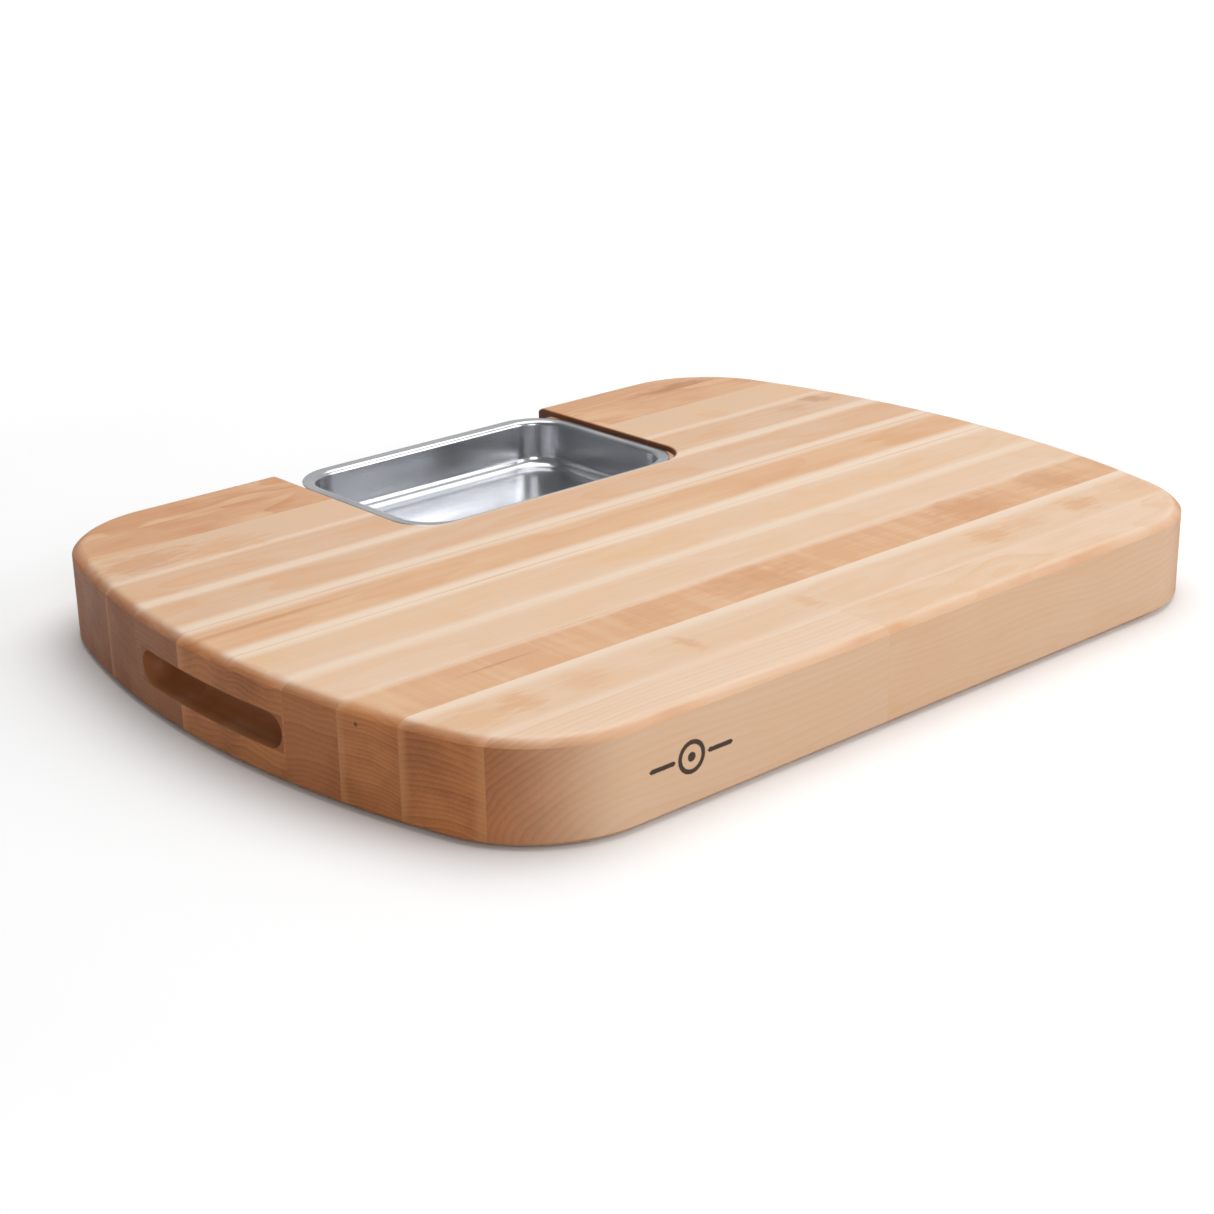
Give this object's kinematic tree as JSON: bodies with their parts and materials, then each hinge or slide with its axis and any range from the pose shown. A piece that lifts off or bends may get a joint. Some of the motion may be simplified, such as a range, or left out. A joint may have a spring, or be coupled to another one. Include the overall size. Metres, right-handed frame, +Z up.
{
  "type": "cutting board",
  "caption": "Thick edge-grain maple cutting board with bowed ends, finger grips and a steel scrap pan that slides on ledges in a notch in its rear edge.",
  "frame": {"origin": "centre of the underside, midway between the two bowed ends and between the front and rear faces", "axes": "+X along the staves to the right-hand end, +Y to the rear edge that holds the pan, +Z up out of the cutting surface"},
  "size_m": [0.6096, 0.4572, 0.0571],
  "materials": {
    "maple": "hard maple, sanded and oiled, satin",
    "stainless_steel": "drawn stainless sheet, satin bright"
  },
  "bodies": {
    "board": {"stave_01_left": "maple", "stave_01_right": "maple", "stave_02": "maple", "stave_03": "maple", "stave_04": "maple", "stave_05": "maple", "stave_06": "maple", "stave_07": "maple", "stave_08_left": "maple", "stave_08_right": "maple", "stave_09_left": "maple", "stave_09_right": "maple", "stave_10_left": "maple", "stave_10_right": "maple", "stave_11_left": "maple", "stave_11_right": "maple"},
    "pan": {"scrap_pan": "stainless_steel"}
  },
  "joints": [
    {"name": "pan_slide", "type": "slide", "parent": "board", "child": "pan", "axis": [0, 1, 0], "range_m": [0, 0.16]}
  ]
}
